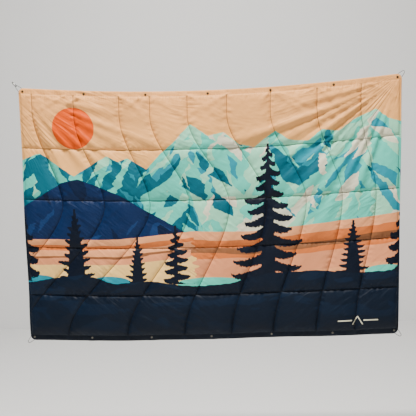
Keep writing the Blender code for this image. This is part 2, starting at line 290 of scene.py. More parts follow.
def flat_mesh(step, near=None, seed=4):
    """Triangles of the flat blanket with every stitch line as edges."""
    fine = near or step
    rng = np.random.default_rng(seed)
    loop = outline(fine)
    points = [tuple(p) for p in loop]
    edges = [(i, (i + 1) % len(loop)) for i in range(len(loop))]
    lines = seam_lines(fine) + hem_lines(fine)
    for line in lines:
        for run in runs(inset(line) > -0.6 * fine):
            base = len(points)
            points += [tuple(p) for p in line[run]]
            edges += [(base + i, base + i + 1) for i in range(len(run) - 1)]
    bands = ((step, 0.0, ANYWHERE),)
    if near is not None:
        bands = ((near, 0.0, NEAR_BAND), (step, NEAR_BAND, ANYWHERE))
        for line in lines:
            along = np.gradient(line, axis=0)
            along /= np.linalg.norm(along, axis=1)[:, None]
            across = np.stack([-along[:, 1], along[:, 0]], 1)
            for side in (-BESIDE, BESIDE):
                beside = line + side * across
                clear = (STITCHED.find(beside)[0] > 0.9 * BESIDE) & (inset(beside) > BESIDE)
                points += [tuple(p) for p in beside[clear]]
    for spacing, low, high in bands:
        rows = int(HEIGHT / (spacing * ROW_STEP)) + 2
        columns = int(WIDTH / spacing) + 2
        gx, gy = np.meshgrid(np.arange(columns), np.arange(rows))
        grid = np.stack([(gx + 0.5 * (gy % 2)) * spacing, gy * spacing * ROW_STEP], -1)
        grid = grid.reshape(-1, 2)
        grid = grid + rng.uniform(-0.16, 0.16, grid.shape) * spacing
        grid = grid[inset(grid) > 0.5 * spacing]
        gap = STITCHED.find(grid)[0]
        room = 0.55 * spacing + (0.0 if near is None else BESIDE)
        points += [tuple(p) for p in grid[(gap > max(low, room)) & (gap <= high)]]
    result = delaunay_2d_cdt([Vector(p) for p in points], edges, [], 0, 0.19 * fine)
    flat = np.array([(v.x, v.y) for v in result[0]])
    tris = np.array([list(f) for f in result[2] if len(f) == 3])
    tris = tris[inset(flat[tris].mean(1)) > 0.0]
    tris, used = compact(tris, len(flat))
    flat = flat[used]
    a, b, c = (flat[tris[:, k]] for k in range(3))
    turned = cross(b - a, c - a) < 0
    tris[turned] = tris[turned][:, ::-1]
    stitched = (STITCHED.find(flat)[0] < 0.2 * fine) | (inset(flat) < 0.12 * fine)
    return flat, tris, stitched


class Flat:
    """Looks up values stored on a flat triangle mesh."""

    def __init__(self, flat, tris):
        self.flat = flat
        self.tris = tris
        self.tree = BVHTree.FromPolygons([(s, t, 0.0) for s, t in flat], tris.tolist())

    def find(self, points):
        """For each point the triangle it is in, and its weights for the triangle's corners."""
        rows = np.zeros(len(points), int)
        spots = np.zeros((len(points), 2))
        for i, p in enumerate(points):
            hit, _, rows[i], _ = self.tree.find_nearest((p[0], p[1], 0.0))
            spots[i] = hit.x, hit.y
        tri = self.tris[rows]
        a, b, c = (self.flat[tri[:, k]] for k in range(3))
        area = cross(b - a, c - a)
        wb = cross(spots - a, c - a) / area
        wc = cross(b - a, spots - a) / area
        return tri, np.stack([1 - wb - wc, wb, wc], 1)

    @staticmethod
    def read(found, values):
        tri, weight = found
        if values.ndim == 1:
            return (values[tri] * weight).sum(1)
        return (values[tri] * weight[..., None]).sum(1)


def relax(values, edges, rounds, fixed=None):
    """Averages each value with its neighbours'."""
    degree = np.bincount(edges.ravel(), minlength=len(values)).astype(float)
    shape = (-1,) + (1,) * (values.ndim - 1)
    for _ in range(rounds):
        total = np.zeros_like(values)
        np.add.at(total, edges[:, 0], values[edges[:, 1]])
        np.add.at(total, edges[:, 1], values[edges[:, 0]])
        new = 0.4 * values + 0.6 * total / degree.reshape(shape)
        if fixed is not None:
            new[fixed] = values[fixed]
        values = new
    return values


def bridge(*rings):
    """Faces between rings of vertices, one after another. Corners that coincide count once."""
    faces = []
    for low, high in zip(rings, rings[1:]):
        for i in range(len(low)):
            j = (i + 1) % len(low)
            f = list(dict.fromkeys((low[i], low[j], high[j], high[i])))
            if len(f) > 2:
                faces.append(f)
    return faces


def new_object(name, verts, faces, uv=None, smooth_shade=True):
    mesh = bpy.data.meshes.new(name)
    mesh.from_pydata(np.asarray(verts).tolist(), [], [list(map(int, f)) for f in faces])
    mesh.update()
    if uv is not None:
        layer = mesh.uv_layers.new(name="print")
        index = np.zeros(len(mesh.loops), np.int32)
        mesh.loops.foreach_get("vertex_index", index)
        layer.data.foreach_set("uv", np.asarray(uv)[index].astype(np.float32).ravel())
    mesh.polygons.foreach_set("use_smooth", [smooth_shade] * len(mesh.polygons))
    obj = bpy.data.objects.new(name, mesh)
    bpy.context.scene.collection.objects.link(obj)
    return obj


# ---------------------------------------------------------------- the hanging cloth
def simulate():
    """Inflates the quilt with the cloth solver while it hangs from its top edge.

    Returns the coarse flat mesh, the middle surface's points and half its thickness."""
    flat, tris, stitched = flat_mesh(COARSE)
    n = len(flat)
    free = np.where(~stitched)[0]
    back = np.arange(n)
    back[free] = n + np.arange(len(free))
    rest = np.zeros((n + len(free), 3))
    rest[:n, 0] = flat[:, 0] - WIDTH / 2
    rest[:n, 2] = -flat[:, 1]
    rest[n:] = rest[free]
    rest[free, 1] = -LAYER_GAP
    rest[n:, 1] = LAYER_GAP
    start = rest.copy()
    x, z = place(flat)
    for axis, hung in ((0, x * SLACK), (2, z)):
        start[:n, axis] = hung
        start[n:, axis] = start[free, axis]
    faces = {}
    for tri in tris:
        for f in (tuple(tri), tuple(back[tri][::-1])):
            faces.setdefault(tuple(sorted(f)), f)
    mesh = bpy.data.meshes.new("sim")
    mesh.from_pydata(rest.tolist(), [], list(faces.values()))
    mesh.update()
    if mesh.polygons[0].normal.y > 0:
        mesh.flip_normals()
    obj = bpy.data.objects.new("sim", mesh)
    scene = bpy.context.scene
    scene.collection.objects.link(obj)
    both = np.concatenate([in_hem(flat), in_hem(flat)[free]])
    pinned = flat[:, 1] < 0.002
    for group, mask, weight in (("pins", pinned, 1.0), ("press", both, HEM_PRESSURE),
                                ("press", ~both, 1.0)):
        found = obj.vertex_groups.get(group) or obj.vertex_groups.new(name=group)
        found.add([int(i) for i in np.where(mask)[0]], weight, "REPLACE")
    obj.shape_key_add(name="start").data.foreach_set("co", start.ravel())
    key = obj.shape_key_add(name="rest")
    key.data.foreach_set("co", rest.ravel())
    mesh.vertices.foreach_set("co", start.ravel())
    cloth = obj.modifiers.new("cloth", "CLOTH")
    for setting, value in SOLVER.items():
        setattr(cloth.settings, setting, value)
    cloth.settings.rest_shape_key = key
    cloth.point_cache.frame_start = 1
    cloth.point_cache.frame_end = SOLVER_FRAMES
    for f in range(1, SOLVER_FRAMES + 1):
        scene.frame_set(f)
    done = obj.evaluated_get(bpy.context.evaluated_depsgraph_get())
    co = np.zeros(len(rest) * 3)
    done.data.vertices.foreach_get("co", co)
    co = co.reshape(-1, 3)
    bpy.data.objects.remove(obj, do_unlink=True)
    bpy.data.meshes.remove(mesh)
    scene.frame_set(1)
    return flat, tris, (co[:n] + co[back]) / 2, (co[back, 1] - co[:n, 1]) / 2


def polynomial(flat, degree):
    u, v = (share * 2 - 1 for share in shares(flat))
    return np.stack([u ** i * v ** j for i in range(degree + 1) for j in range(degree + 1 - i)], 1)


def ripples(x, y, seed, wavelength, angle, spread, count=9):
    """Sharp-crested ripples that mostly run one way. From -1 to 1."""
    rng = np.random.default_rng(seed)
    total = np.zeros(len(x))
    for _ in range(count):
        a = math.radians(angle) + rng.normal(0, spread)
        k = 2 * math.pi / (wavelength * rng.uniform(0.7, 1.5))
        bend = 0.35 * np.sin(6.0 * (x * math.cos(a) + y * math.sin(a)) + rng.uniform(0, 6))
        phase = k * (-x * math.sin(a) + y * math.cos(a)) + rng.uniform(0, 6.28) + bend
        gain = rng.uniform(0.5, 1.0) * (0.5 + 0.5 * np.sin(
            rng.uniform(3, 9) * x + rng.uniform(3, 9) * y + rng.uniform(0, 6)))
        total += gain * (1 - 1.6 * np.abs(np.sin(phase / 2)) ** 0.8)
    return total / (0.45 * count)


def corner_folds(flat, corner, side, count, seed, reach):
    """Folds that fan out from a hanging corner, at angles below the top edge."""
    rng = np.random.default_rng(seed)
    first, last = FAN_ANGLES
    ds = (flat[:, 0] - corner[0]) * side
    dt = flat[:, 1] - corner[1]
    r = np.hypot(ds, dt)
    angle = np.degrees(np.arctan2(dt, ds))
    total = np.zeros(len(flat))
    for i in range(count):
        centre = first + (last - first) * (i + rng.uniform(0.2, 0.8)) / count
        width = rng.uniform(1.7, 3.0)
        centre = centre + rng.uniform(-3, 3) * r
        length = reach * rng.uniform(0.55, 1.1)
        rise = smooth(np.radians(width) * r / 0.021) * np.exp(-(r / length) ** 2)
        shape = np.exp(-((angle - centre) / width) ** 2) - 0.45 * np.exp(
            -((angle - centre - 1.9 * width) / (1.3 * width)) ** 2)
        total += rng.uniform(0.6, 1.0) * rise * shape
    return total


def edge_folds(flat, seed):
    """Short folds that run down from the top hem beside its snaps and seams."""
    rng = np.random.default_rng(seed)
    s, t = flat.T
    total = np.zeros(len(flat))
    depth = t - HEM * 0.6
    below = np.clip(depth, 0, 1)
    for start in [p[0] for p in SNAP_FLAT if p[1] < HEIGHT / 2] + list(STEEP_STARTS[:-1]):
        for _ in range(3):
            slope = rng.choice([-1, 1]) * rng.uniform(0.5, 2.2)
            line = start + rng.uniform(-0.02, 0.02) + slope * depth
            fade = smooth(depth / 0.02) * np.exp(-below / rng.uniform(0.05, 0.14))
            ridge = np.exp(-((s - line) / (0.011 + 0.05 * below)) ** 2)
            total += rng.uniform(0.4, 1.0) * fade * ridge
    return total


def flat_of(x, z):
    """The flat point that hangs at x and z."""
    s, t = x + WIDTH / 2, -z
    for _ in range(20):
        px, pz = place(np.array([[s, t]]))
        s += x - px[0]
        t -= z - pz[0]
    return s, t


SNAPS = []
for kind in ("snap_socket_", "snap_stud_"):
    for number in range(1, 8):
        low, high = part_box(kind + str(number))
        SNAPS.append((kind, number, (low + high) / 2))
SNAP_FLAT = np.array([flat_of(c.x, c.z) for _, _, c in SNAPS])


def quilted(flat, tris, stitched, middle, puff):
    """The solver's creases added to the CAD's hang, and the quilt's half thickness."""
    cflat, ctris, cmiddle, chalf = simulate()
    basis = polynomial(cflat, 5)
    trend = basis @ np.linalg.lstsq(basis, cmiddle, rcond=None)[0]
    found = Flat(cflat, ctris).find(flat)
    edges = np.unique(np.sort(tri_edges(tris), 1), axis=0)
    extra = relax(Flat.read(found, cmiddle - trend), edges, 8)
    middle += np.clip(extra, -MOST_MOVED, MOST_MOVED) * FOLLOW
    half = relax(Flat.read(found, chalf), edges, 6, fixed=stitched)
    return np.maximum(0.75 * np.clip(half, 0, MOST_HALF) + 0.45 * LOFT_HALF * puff, SEAM_HALF)


def puckers(flat, gap, way, line):
    """Small waves beside each seam, and finer ones beside the hems."""
    pucker = np.zeros(len(flat))
    rng = np.random.default_rng(77)
    for number in range(int(line.max()) + 1):
        sel = line == number
        wavelength = rng.uniform(0.024, 0.034)
        w = way[sel] + rng.uniform(-0.4, 0.4) * gap[sel]
        wave = np.sin(2 * math.pi * w / wavelength + 2.2 * np.sin(w * 19 + number))
        pucker[sel] = wave * (0.55 + 0.45 * np.sin(w * 31 + 2 * number))
    fade = smooth(gap / 0.007) * np.exp(-gap / 0.021)
    pucker = PUCKER * pucker * fade * smooth(inset(flat) / 0.03)
    s, t = flat.T
    hem_wave = HEM_PUCKER * ripples(s, t * 0.25, 14, 0.050, 90, 0.15)
    hem_gap = np.minimum(np.abs(t - HEM), np.abs(t - HEIGHT + HEM))
    return pucker + hem_wave * np.exp(-hem_gap / 0.02) * smooth(hem_gap / 0.004)


def all_folds(flat, gap):
    """How far the folds push the cloth forward."""
    s, t = flat.T
    upper = np.clip(1.15 - 0.85 * t / 0.75, 0.25, 1.0)
    off_seam = smooth(gap / 0.02)
    folds = RIGHT_FAN * corner_folds(flat, (WIDTH - 0.015, 0.015), -1, 10, 11, 0.78)
    folds += LEFT_FAN * corner_folds(flat, (0.015, 0.015), 1, 8, 23, 0.70)
    folds += EDGE_FOLD * edge_folds(flat, 31)
    folds += LONG_RIPPLE * ripples(s, t, 5, 0.055, 38, 0.30) * upper * off_seam
    folds += SHORT_RIPPLE * ripples(s, t, 8, 0.040, 140, 0.35) * off_seam
    return folds


def build_surface():
    """The final cloth: flat mesh, middle surface, and the offsets of its front and back."""
    flat, tris, stitched = flat_mesh(FAR, NEAR)
    gap, way, line = QUILT.find(flat)
    gap_all = STITCHED.find(flat)[0]
    x, z = place(flat)
    middle = np.stack([x, middle_y(flat), z], 1)
    k = np.clip(gap_all / LOFT_REACH, 0, 1)
    puff = np.sqrt(k * (2 - k))
    half = quilted(flat, tris, stitched, middle, puff)
    half += SEAM_LIP * (1 - np.exp(-gap / 0.006))
    half[in_hem(flat) | (inset(flat) < 0.002) | stitched] = SEAM_HALF

    # The filling slumps: each row of pockets is fullest low down. It is pulled thin at the corners.
    ends = np.array((0.0, 0.02) + ROW_SEAMS + (0.98, 1.0))
    v = shares(flat)[1]
    row = np.digitize(v, ends[1:-1])
    drop = (v - ends[row]) / (ends[row + 1] - ends[row])
    half = SEAM_HALF + (half - SEAM_HALF) * (0.80 + 0.42 * smooth(drop))
    tight = sum(weight * np.exp(-np.hypot(flat[:, 0] - corner_s, flat[:, 1]) / 0.34)
                for corner_s, weight in ((WIDTH, 0.60), (0.0, 0.45)))
    half = SEAM_HALF + (half - SEAM_HALF) * (1 - tight)

    snap_gaps = np.hypot(flat[:, None, 0] - SNAP_FLAT[:, 0], flat[:, None, 1] - SNAP_FLAT[:, 1])
    clear = snap_gaps.min(1) - SNAP_CLEAR
    free = smooth(clear / 0.035)
    middle[:, 1] -= all_folds(flat, gap_all) * free * (0.35 + 0.65 * smooth(inset(flat) / 0.03))
    pucker = puckers(flat, gap, way, line)
    front = half + np.maximum(pucker, -0.6 * half) * free
    back = half + np.maximum(-0.7 * pucker, -0.6 * half) * free

    # At a snap the cloth lies exactly where the CAD has it.
    exact = 1 - smooth(clear / 0.03)
    at_snap = middle_y(SNAP_FLAT)[snap_gaps.argmin(1)]
    for axis, there in enumerate((x, at_snap, z)):
        middle[:, axis] += (there - middle[:, axis]) * exact
    front = np.minimum(np.maximum(front, SEAM_HALF), middle[:, 1] - (CAD_LOW.y - PAST_CAD))
    back = np.minimum(np.maximum(back, SEAM_HALF), CAD_HIGH.y + PAST_CAD - middle[:, 1])
    return flat, tris, middle, front, back


FLAT, TRIS, MIDDLE, FRONT, BACK = build_surface()
QUILT_GAP = QUILT.find(FLAT)[0]
STITCH_GAP = STITCHED.find(FLAT)[0]


# ---------------------------------------------------------------- cloth, filling, tapes
# The face's edge turns over to the back: (out from the edge, depth as a share of the thickness).
EDGE_TURN = ((0.0010, 0.35), (0.0013, -0.35), (0.0004, -1.25), (-0.0060, -1.32))
FILL_GAP = 0.0011
FILL_LEAST = 0.0003
TAPE_HALF = 0.0005
# STITCH_SHADE: how near a stitch line the painted seam shade is put.
STITCH_SHADE = 0.0012


def to_uv(flat):
    u, v = shares(flat)
    return np.stack([u, 1 - v], 1)


def rim_loop(tris):
    """The outline's vertices, in order."""
    following = dict(rim_edges(tris))
    start = min(following)
    loop = [start]
    while following[loop[-1]] != start:
        loop.append(following[loop[-1]])
    return loop


def turned_edge(verts, faces, sign, offset):
    """Adds rings of vertices that take the cloth's edge round to the other side."""
    rim = rim_loop(TRIS)
    ring = MIDDLE[rim][:, [0, 2]]
    along = np.roll(ring, -1, 0) - np.roll(ring, 1, 0)
    outward = np.stack([along[:, 1], -along[:, 0]], 1)
    outward /= np.linalg.norm(outward, axis=1)[:, None]
    if ((ring - ring.mean(0)) * outward).sum() < 0:
        outward = -outward
    before = rim
    for out, depth in EDGE_TURN:
        turned = MIDDLE[rim].copy()
        turned[:, 0] += out * outward[:, 0]
        turned[:, 2] += out * outward[:, 1]
        turned[:, 1] += sign * depth * offset[rim]
        now = list(range(len(verts), len(verts) + len(rim)))
        verts = np.concatenate([verts, turned])
        faces += bridge(now, before)
        before = now
    return verts, np.concatenate([FLAT] + [FLAT[rim]] * len(EDGE_TURN))


def cloth_side(name, sign, offset, wrap):
    """One layer of cloth. Its seam attribute is painted shade: it darkens the colour in the creases
    along the stitch lines.
    """
    verts = MIDDLE.copy()
    verts[:, 1] += sign * offset
    flat = FLAT
    faces = [tuple(t) for t in (TRIS if sign < 0 else TRIS[:, ::-1])]
    if wrap:
        verts, flat = turned_edge(verts, faces, sign, offset)
    obj = new_object(name, verts, faces, to_uv(flat))
    if obj.data.polygons[0].normal.y * sign < 0:
        obj.data.flip_normals()
    shade = obj.data.attributes.new("seam", "FLOAT", "POINT")
    values = np.zeros(len(verts), np.float32)
    # Painted seam shade: full in the quilting creases, 0.35 along the hem stitching.
    values[:len(FLAT)] = np.where(QUILT_GAP < STITCH_SHADE, 1.0, 0.35 * (STITCH_GAP < STITCH_SHADE))
    shade.data.foreach_set("value", values)
    return obj


def closed_sheet(name, tris, front, back_off):
    """A closed body between two offsets from the middle surface, over some of the triangles."""
    tris, used = compact(tris, len(FLAT))
    a = MIDDLE[used].copy()
    b = MIDDLE[used].copy()
    a[:, 1] -= front[used]
    b[:, 1] += back_off[used]
    n = len(used)
    faces = [tuple(t) for t in tris] + [tuple(t[::-1] + n) for t in tris]
    faces += [(q, p, p + n, q + n) for p, q in rim_edges(tris)]
    flat = FLAT[np.concatenate([used, used])]
    obj = new_object(name, np.concatenate([a, b]), faces, to_uv(flat))
    if obj.data.polygons[0].normal.y > 0:
        obj.data.flip_normals()
    return obj


face = cloth_side("face_fabric", -1, FRONT, True)
back = cloth_side("back_fabric", 1, BACK, False)
CENTRES = FLAT[TRIS].mean(1)
centre_t = CENTRES[:, 1]
centre_in = inset(CENTRES)
fill_tris = TRIS[(centre_t > HEM) & (centre_t < HEIGHT - HEM) & (centre_in > 0.004)]
filling = closed_sheet("insulation", fill_tris, np.maximum(FRONT - FILL_GAP, FILL_LEAST),
                       np.maximum(BACK - FILL_GAP, FILL_LEAST))
thin = np.full(len(FLAT), TAPE_HALF)
tapes = []
for name, keep in (("top_hem_tape_cloth", centre_t < HEM),
                   ("bottom_hem_tape_cloth", centre_t > HEIGHT - HEM)):
    tapes.append(closed_sheet(name, TRIS[keep & (centre_in > 0.003)], thin, thin))

# ---------------------------------------------------------------- thread
SURFACE = Flat(FLAT, TRIS)
THREAD = 0.0007
THREAD_LIFT = 0.00005


def on_surface(points, sign):
    found = SURFACE.find(points)
    p = Flat.read(found, MIDDLE)
    p[:, 1] += sign * (Flat.read(found, FRONT if sign < 0 else BACK) + THREAD_LIFT)
    return p


def stitches(name, lines, pitch, length):
    """Lockstitch along every line, on both sides of the blanket: pointed bars, ends in the cloth."""
    starts = []
    ends = []
    for line in lines:
        step = np.linalg.norm(np.diff(line, axis=0), axis=1)
        way = np.concatenate([[0], np.cumsum(step)])
        at = np.arange(pitch / 2, way[-1] - length, pitch)
        for offset, store in ((0.0, starts), (length, ends)):
            store.append(np.stack([np.interp(at + offset, way, line[:, k]) for k in range(2)], 1))
    start = np.concatenate(starts)
    end = np.concatenate(ends)
    keep = (inset(start) > 0.002) & (inset(end) > 0.002)
    start, end = start[keep], end[keep]
    verts = []
    faces = []
    flat = []
    m = len(start)
    for sign in (-1, 1):
        a = on_surface(start, sign)
        b = on_surface(end, sign)
        along = (b - a) / np.linalg.norm(b - a, axis=1)[:, None]
        across = np.stack([-along[:, 2], np.zeros(m), along[:, 0]], 1) * THREAD / 2
        out = np.zeros_like(a)
        out[:, 1] = sign * THREAD * 0.45
        third = (b - a) * 0.18
        base = m * len(verts)
        verts.append(a - out * 0.6)
        for middle in (a + third, b - third):
            verts += [middle + across, middle + out * 1.2, middle - across]
        verts.append(b - out * 0.6)
        c = [base + np.arange(m) + m * k for k in range(8)]
        for f in ((0, 1, 2), (0, 2, 3), (0, 3, 1), (1, 4, 5, 2), (2, 5, 6, 3), (3, 6, 4, 1),
                  (7, 5, 4), (7, 6, 5), (7, 4, 6)):
            order = f if sign > 0 else f[::-1]
            faces += np.stack([c[k] for k in order], 1).tolist()
        flat += [start] * 4 + [end] * 4
    return new_object(name, np.concatenate(verts), faces, to_uv(np.concatenate(flat)))


quilt_thread = stitches("quilting_thread", seam_lines(0.004), 0.0050, 0.0036)
hem_thread = stitches("hem_thread", hem_lines(0.004), 0.0045, 0.0032)


# ---------------------------------------------------------------- snaps and their caps
def lathe(name, profile, centre, segments=40):
    """A turned piece about the Y axis through centre. profile is (radius, y) from centre, closed."""
    verts = []
    rings = []
    for radius, y in profile:
        if radius == 0.0:
            rings.append([len(verts)] * segments)
            verts.append((centre.x, centre.y + y, centre.z))
        else:
            rings.append(list(range(len(verts), len(verts) + segments)))
            for i in range(segments):
                a = 2 * math.pi * i / segments
                verts.append((centre.x + radius * math.cos(a), centre.y + y,
                              centre.z + radius * math.sin(a)))
    if profile[0][0] != 0.0:
        rings.append(rings[0])
    obj = new_object(name, verts, bridge(*rings))
    obj.data.set_sharp_from_angle(angle=math.radians(50))
    return obj


def rounded(points, radius, steps=3):
    """Rounds the corners of a profile, except those on its axis."""
    out = []
    for i, p in enumerate(points):
        if p[0] == 0.0:
            out.append(p)
            continue
        q = np.array(p)
        ends = []
        for other in (points[i - 1], points[(i + 1) % len(points)]):
            to = np.array(other) - q
            length = np.linalg.norm(to)
            ends.append(q + to / length * min(radius, 0.45 * length))
        for k in range(steps + 1):
            w = k / steps
            out.append(tuple((1 - w) ** 2 * ends[0] + 2 * w * (1 - w) * q + w * w * ends[1]))
    return out


BASE = SEAM_HALF + 0.0001
CAP = [(0.0, -BASE - 0.0009), (0.0016, -BASE - 0.0009), (0.0018, BASE), (0.0062, BASE),
       (0.0062, BASE + 0.0007), (0.0052, BASE + 0.0013), (0.0030, BASE + 0.0017),
       (0.0, BASE + 0.0018)]
SOCKET = [(0.0023, -BASE), (0.0060, -BASE), (0.0060, -BASE - 0.0009), (0.0050, -BASE - 0.0013),
          (0.0044, -BASE - 0.0023), (0.0030, -BASE - 0.0023), (0.0028, -BASE - 0.0014),
          (0.0023, -BASE - 0.0013)]
STUD = [(0.0, -BASE - 0.0013), (0.0022, -BASE - 0.0013), (0.0022, -BASE), (0.0055, -BASE),
        (0.0055, -BASE - 0.0007), (0.0030, -BASE - 0.0009), (0.0022, -BASE - 0.0017),
        (0.0026, -BASE - 0.0026), (0.0018, -BASE - 0.0034), (0.0, -BASE - 0.0035)]
hardware = {"socket": [], "stud": [], "cap": []}
for kind, number, centre in SNAPS:
    top = kind == "snap_socket_"
    spot = np.array([flat_of(centre.x, centre.z)])
    middle = Vector((centre.x, float(middle_y(spot)[0]), centre.z))
    cap_name = ("socket_cap_" if top else "stud_cap_") + str(number)
    for group, node, profile, radius in (
            ("socket" if top else "stud", kind + str(number), SOCKET if top else STUD, 0.0002),
            ("cap", cap_name, CAP, 0.0003)):
        piece = lathe(node + "_metal", rounded(profile, radius), middle)
        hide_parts(node)
        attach(piece, "blanket_upper" if top else "blanket_lower")
        hardware[group].append(piece)


# ---------------------------------------------------------------- corner loops
def swept(name, path, radius, sides=18):
    """A round wire along a path, with domed ends."""
    verts = []
    rings = []
    way = 0.0
    uv = []
    normal = None
    last = len(path) - 1
    rows = [(path[0], 0.35, path[0] - path[1])] + [(p, 1.0, None) for p in path]
    rows += [(path[-1], 0.35, path[-1] - path[-2])]
    for i, (point, scale, push) in enumerate(rows):
        j = min(max(i - 1, 0), last)
        tangent = (path[min(j + 1, last)] - path[max(j - 1, 0)]).normalized()
        if normal is None:
            normal = tangent.orthogonal().normalized()
        normal = (normal - tangent * normal.dot(tangent)).normalized()
        side = tangent.cross(normal)
        centre = point + (push.normalized() * radius * 0.35 if push else Vector())
        rings.append(list(range(len(verts), len(verts) + sides)))
        way += (path[j] - path[max(j - 1, 0)]).length if push is None else 0.0
        for k in range(sides):
            a = 2 * math.pi * k / sides
            uv.append((way, abs(2 * k / sides - 1)))
            verts.append(tuple(centre + scale * radius * (math.cos(a) * normal + math.sin(a) * side)))
    return new_object(name, verts, [rings[0][::-1], rings[-1]] + bridge(*rings), uv)


CORD = 0.0024
LOOP_REACH = 0.030
LOOP_FOOT = 0.013
FOOT_X = -0.0019
LOOP_BEND = 0.007
BEND_X = LOOP_REACH - LOOP_BEND
BEND_ANGLE = 78


def loop_outline():
    """A corner loop in its own plane: a straight leg, the bend, and the other leg."""
    points = [(FOOT_X, -LOOP_FOOT)]
    bend = math.radians(BEND_ANGLE)
    for i in range(1, 8):
        k = i / 8
        points.append((FOOT_X + (BEND_X + LOOP_BEND * math.cos(bend) - FOOT_X) * k,
                       -LOOP_FOOT + (LOOP_FOOT - LOOP_BEND * math.sin(bend)) * k))
    for i in range(17):
        a = bend * (i / 8 - 1)
        points.append((BEND_X + LOOP_BEND * math.cos(a), LOOP_BEND * math.sin(a)))
    return points + [(x, -y) for x, y in points[7::-1]]


loops = []
for name, s_sign, t_sign in (("upper_left", -1, -1), ("upper_right", 1, -1),
                             ("lower_left", -1, 1), ("lower_right", 1, 1)):
    inner = CORNER_RADIUS * (1 - math.cos(math.radians(45)))
    spot = np.array([[inner if s_sign < 0 else WIDTH - inner,
                      inner if t_sign < 0 else HEIGHT - inner]])
    px, pz = place(spot)
    origin = Vector((px[0], middle_y(spot)[0], pz[0]))
    out = Vector((s_sign, 0.0, -t_sign)).normalized()
    along = Vector((t_sign, 0.0, s_sign)).normalized()
    path = [origin + out * a + along * b for a, b in loop_outline()]
    obj = swept("corner_loop_" + name + "_cord", path, CORD / 2, 14)
    length = sum((b - a).length for a, b in zip(path, path[1:]))
    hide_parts("corner_loop_" + name)
    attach(obj, "blanket_upper" if t_sign < 0 else "blanket_lower")
    tuple(path[0])
    [tuple(q) for q in path]
    loops.append(obj)

# ---------------------------------------------------------------- carabiner
# Its own x runs along the clip from the loop's apex, y along the gate's hinge.
WIRE = 0.0015
GATE_WIRE = 0.0006
GATE_HALF = 0.0024
RING_RADIUS = 0.007
RING_STRAIGHT = 0.017
RING_GAP = 0.0006
NOSE = 0.0022
HEEL = 0.0016
GATE_LAP = 0.0020
GATE_GAP = 0.0003
joints = {j["name"]: j for j in frame["joints"]}
ring_y = Vector(joints["gate_open"]["axis"]).normalized()
ring_x = Vector((-1.0, 0.0, 1.0)).normalized()
ring_z = ring_x.cross(ring_y).normalized()
ring = Matrix((ring_x, ring_y, ring_z)).transposed().to_4x4()
ring.translation = Vector(joints["carabiner_swing"]["pos_m"])
near = RING_RADIUS - (CORD / 2 + RING_GAP + WIRE)
far = near + RING_STRAIGHT
nose = far - NOSE
path = [Vector((x, 0, RING_RADIUS)) for x in (nose, far - 0.0008, far)]
for centre, turns, start in ((far, range(1, 20), 90), (near, range(21), 270)):
    for i in turns:
        a = math.radians(start - 180 * i / 20)
        path.append(Vector((centre + RING_RADIUS * math.cos(a), 0, RING_RADIUS * math.sin(a))))
path.append(Vector((near + HEEL, 0, RING_RADIUS)))
clip = swept("carabiner_body_wire", [ring @ p for p in path], WIRE)
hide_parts("carabiner_body")
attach(clip, "carabiner")
hinge = Vector((near, 0, RING_RADIUS))
reach = nose + GATE_LAP - near
lift = -(WIRE + GATE_GAP + GATE_WIRE)
side = [(0, 0.0017, 0), (0, 0.0021, 0), (0.0002, 0.0023, 0), (0.0006, GATE_HALF, -0.0001),
        (reach * 0.5, GATE_HALF, lift * 0.55), (reach - 0.0012, GATE_HALF, lift),
        (reach - 0.0004, 0.0021, lift), (reach, 0.0014, lift)]
path = [Vector(p) for p in side] + [Vector((x, -y, z)) for x, y, z in side[::-1]]
gate = swept("carabiner_gate_wire", [ring @ (hinge + p) for p in path], GATE_WIRE, 12)
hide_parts("carabiner_gate")
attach(gate, "gate")


# ---------------------------------------------------------------- shader nodes
class Value:
    """A shader socket that arithmetic works on. Each operation adds a Math node."""

    def __init__(self, graph, socket):
        self.graph = graph
        self.socket = socket

    def __rsub__(self, other):
        return self.graph.math("SUBTRACT", other, self)


for sign, operation in (("add", "ADD"), ("sub", "SUBTRACT"), ("mul", "MULTIPLY"),
                        ("truediv", "DIVIDE"), ("lt", "LESS_THAN"), ("gt", "GREATER_THAN"),
                        ("and", "MULTIPLY"), ("or", "MAXIMUM"), ("abs", "ABSOLUTE")):
    setattr(Value, "__" + sign + "__",
            lambda self, *other, operation=operation: self.graph.math(operation, self, *other))


